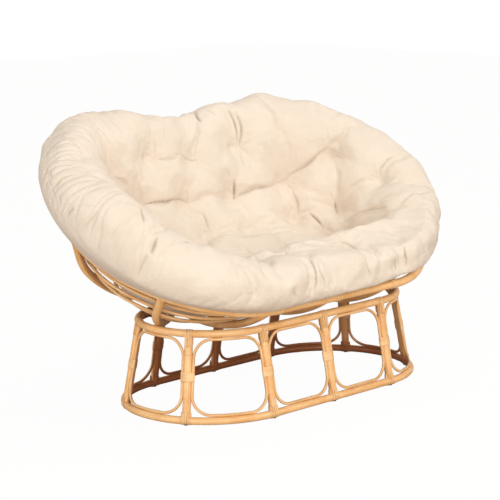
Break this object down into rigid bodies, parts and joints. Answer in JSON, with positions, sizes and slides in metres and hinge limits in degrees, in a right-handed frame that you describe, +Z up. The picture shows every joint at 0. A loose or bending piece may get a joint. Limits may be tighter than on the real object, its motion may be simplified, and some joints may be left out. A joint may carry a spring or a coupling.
{
  "type": "double papasan chair",
  "caption": "Wide rattan chair: a stadium-shaped bent-cane base, a loose tipping rattan bowl and a thick tufted cushion lying in it.",
  "frame": {"origin": "on the floor, under the middle of the chair's outer box", "axes": "+X along the chair's length, to the right as one looks at its front; -Y to the front, where the bowl tips; +Z up"},
  "size_m": [1.6558, 0.9414, 0.9566],
  "materials": {
    "rattan_pole": "honey-brown lacquered rattan poles",
    "bent_cane": "thin lacquered canes, a little darker",
    "rattan_peel": "flat peel wound round a joint",
    "glide": "small dark foot glides",
    "cushion_cotton": "cream cotton cover, wrinkled and tufted, over a soft filling"
  },
  "bodies": {
    "base": {"base_top_ring": "rattan_pole", "base_bottom_ring": "rattan_pole", "upright_front_left": "rattan_pole", "window_hoop_front_left_to_front_middle": "bent_cane", "wrap_front_left": "rattan_peel", "foot_glide_front_left": "glide", "upright_front_middle": "rattan_pole", "window_hoop_front_middle_to_front_right": "bent_cane", "wrap_front_middle": "rattan_peel", "foot_glide_front_middle": "glide", "upright_front_right": "rattan_pole", "window_hoop_front_right_to_right_front": "bent_cane", "wrap_front_right": "rattan_peel", "foot_glide_front_right": "glide", "upright_right_front": "rattan_pole", "window_hoop_right_front_to_right_back": "bent_cane", "wrap_right_front": "rattan_peel", "foot_glide_right_front": "glide", "upright_right_back": "rattan_pole", "window_hoop_right_back_to_back_right": "bent_cane", "wrap_right_back": "rattan_peel", "foot_glide_right_back": "glide", "upright_back_right": "rattan_pole", "window_hoop_back_right_to_back_middle": "bent_cane", "wrap_back_right": "rattan_peel", "foot_glide_back_right": "glide", "upright_back_middle": "rattan_pole", "window_hoop_back_middle_to_back_left": "bent_cane", "wrap_back_middle": "rattan_peel", "foot_glide_back_middle": "glide", "upright_back_left": "rattan_pole", "window_hoop_back_left_to_left_back": "bent_cane", "wrap_back_left": "rattan_peel", "foot_glide_back_left": "glide", "upright_left_back": "rattan_pole", "window_hoop_left_back_to_left_front": "bent_cane", "wrap_left_back": "rattan_peel", "foot_glide_left_back": "glide", "upright_left_front": "rattan_pole", "window_hoop_left_front_to_front_left": "bent_cane", "wrap_left_front": "rattan_peel", "foot_glide_left_front": "glide"},
    "bowl": {"bowl_rim": "rattan_pole", "bowl_rib_left": "rattan_pole", "bowl_rib_middle": "rattan_pole", "bowl_rib_right": "rattan_pole", "bowl_end_rib_left": "rattan_pole", "bowl_end_rib_right": "rattan_pole", "bowl_hoop_upper": "bent_cane", "bowl_hoop_paired": "bent_cane", "bowl_hoop_lower": "bent_cane", "bowl_hoop_bottom": "bent_cane"},
    "cushion": {"cushion": "cushion_cotton"}
  },
  "joints": [
    {"name": "bowl_tilt", "type": "hinge", "parent": "base", "child": "bowl", "pos_m": [0, -0.06699, 0.76693], "axis": [1, 0, 0], "range_deg": [-22.8, 6]},
    {"name": "cushion_lift", "type": "slide", "parent": "bowl", "child": "cushion", "axis": [0, -0.3875, 0.9219], "range_m": [0, 0.4]}
  ]
}
